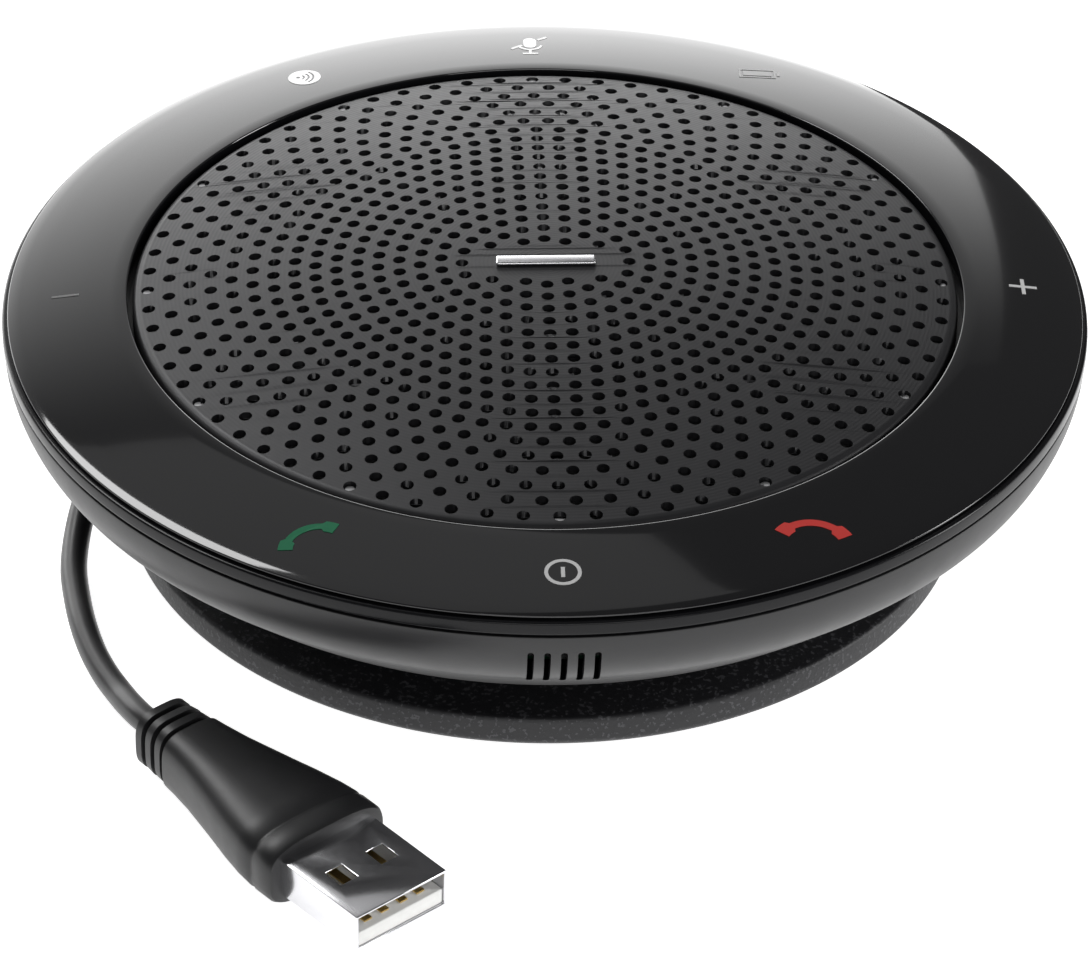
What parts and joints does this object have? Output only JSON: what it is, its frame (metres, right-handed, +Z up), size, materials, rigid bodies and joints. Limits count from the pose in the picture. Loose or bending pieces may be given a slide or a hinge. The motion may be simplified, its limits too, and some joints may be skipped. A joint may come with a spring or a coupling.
{
  "type": "conference speakerphone",
  "caption": "Round desk speakerphone with a domed perforated grille, a gloss touch ring, and a spool base that stores its own plug cable.",
  "frame": {"origin": "centre of the underside, on the surface that the part stands on", "axes": "+Z up, -Y to the front with the power symbol and the microphone slots, +X to the right"},
  "size_m": [0.12, 0.1423, 0.0325],
  "materials": {
    "ring_gloss": "deep gloss black",
    "grille_black": "satin black painted steel",
    "cloth": "fine black weave",
    "bright_steel": "plated steel",
    "badge_silver": "polished",
    "inner_plastic": "moulded black",
    "housing_satin": "satin black",
    "base_textured": "fine spark-eroded texture",
    "rubber": "soft black",
    "board_green": "lacquered board",
    "copper": "copper coloured",
    "white_plastic": "white moulded",
    "symbol_white": "pale window",
    "symbol_green": "green window",
    "symbol_red": "red window",
    "foil": "foil pouch",
    "red_wire": "insulated wire",
    "painted_steel": "grey black paint",
    "plain_steel": "zinc plated",
    "magnet": "ground ferrite",
    "spider_cloth": "resin treated cloth",
    "paper": "black pulp",
    "cable_black": "satin black jacket",
    "plug_steel": "nickel plated",
    "gold": "gold flashed"
  },
  "bodies": {
    "housing": {"touch_ring": "ring_gloss", "rim_band": "ring_gloss", "speaker_grille": "grille_black", "grille_cloth": "cloth", "grille_pins": "bright_steel", "badge": "badge_silver", "top_frame": "inner_plastic", "lower_housing": "housing_satin", "housing_screws": "bright_steel", "cable_hub": "housing_satin", "base_disc": "base_textured", "foot_ring": "rubber", "base_screws": "bright_steel", "touch_board": "board_green", "touch_ribbon": "copper", "light_mask": "white_plastic", "lamps_white": "symbol_white", "lamp_green": "symbol_green", "lamp_red": "symbol_red", "main_board": "board_green", "board_chips": "inner_plastic", "board_sockets": "white_plastic", "board_screws": "bright_steel", "battery": "foil", "battery_pad": "white_plastic", "battery_lead": "red_wire", "microphone": "foil", "microphone_boot": "rubber", "slot_mesh": "cloth", "driver_basket": "painted_steel", "driver_gasket": "rubber", "driver_yoke": "plain_steel", "driver_magnet": "magnet", "driver_top_plate": "plain_steel", "driver_screws": "bright_steel", "driver_terminal": "copper", "speaker_leads": "copper", "surround": "rubber", "spider": "spider_cloth", "cable_gland": "rubber", "inner_cable": "cable_black", "cable_winding": "cable_black", "cable_run": "cable_black", "plug_grip": "cable_black", "plug_shell": "plug_steel", "plug_insulator": "white_plastic", "plug_contacts": "gold"},
    "cone": {"cone": "paper", "dust_cap": "paper", "coil_former": "copper", "voice_coil": "copper"}
  },
  "joints": [
    {"name": "cone_travel", "type": "slide", "parent": "housing", "child": "cone", "axis": [0, 0, 1], "range_m": [-0.0012, 0.0012], "stiffness_N_per_m": 700, "deforming": ["surround", "spider"]}
  ]
}
